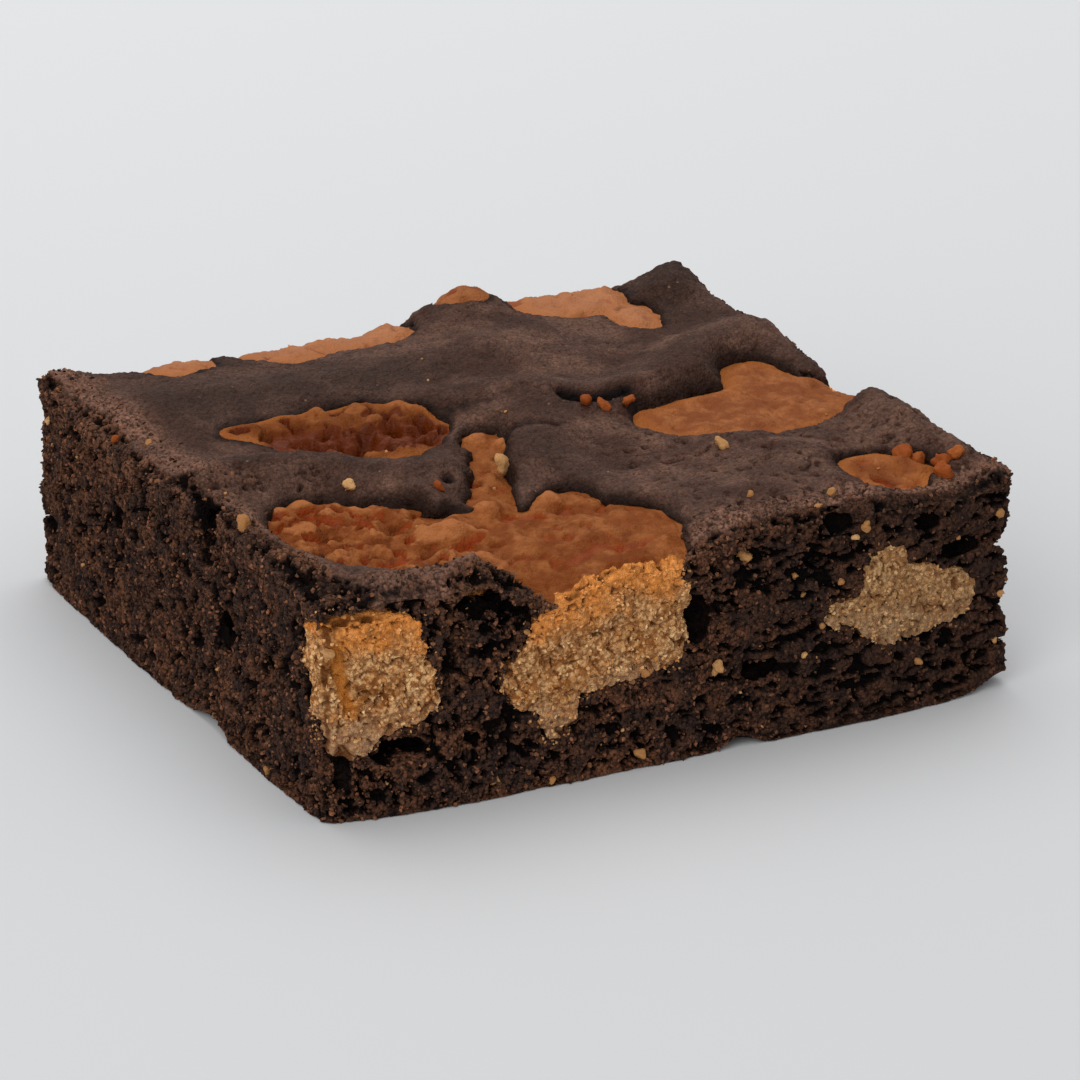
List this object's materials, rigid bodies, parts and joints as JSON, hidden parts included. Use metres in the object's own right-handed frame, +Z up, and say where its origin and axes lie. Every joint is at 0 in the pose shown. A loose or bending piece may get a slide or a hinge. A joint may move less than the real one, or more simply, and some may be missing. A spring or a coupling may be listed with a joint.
{
  "type": "brownie cookie bar",
  "caption": "Square-cut bar of dark chocolate brownie with lumps of pale cookie dough baked into its top and showing in its cut sides.",
  "frame": {"origin": "middle of the underside, on the surface the bar stands on", "axes": "+X along the longer cut front, +Y from the front to the back, +Z up through the thickness; the front is at -Y and the left cut side at -X"},
  "size_m": [0.074, 0.07, 0.0244],
  "materials": {
    "chocolate": "dark, open, crumbly cocoa crumb on the cut sides and a smoother grey-brown baked crust on top",
    "cookie": "cookie dough, browned orange to reddish and lightly pitted on top, pale golden and sandy where it is cut"
  },
  "bodies": {
    "root": {"brownie": "chocolate", "dough_front": "cookie", "dough_corner": "cookie", "dough_left": "cookie", "dough_right": "cookie", "dough_edge": "cookie", "dough_cut": "cookie", "dough_back_left": "cookie", "dough_back": "cookie", "dough_peak": "cookie", "dough_back_right": "cookie"}
  },
  "joints": []
}
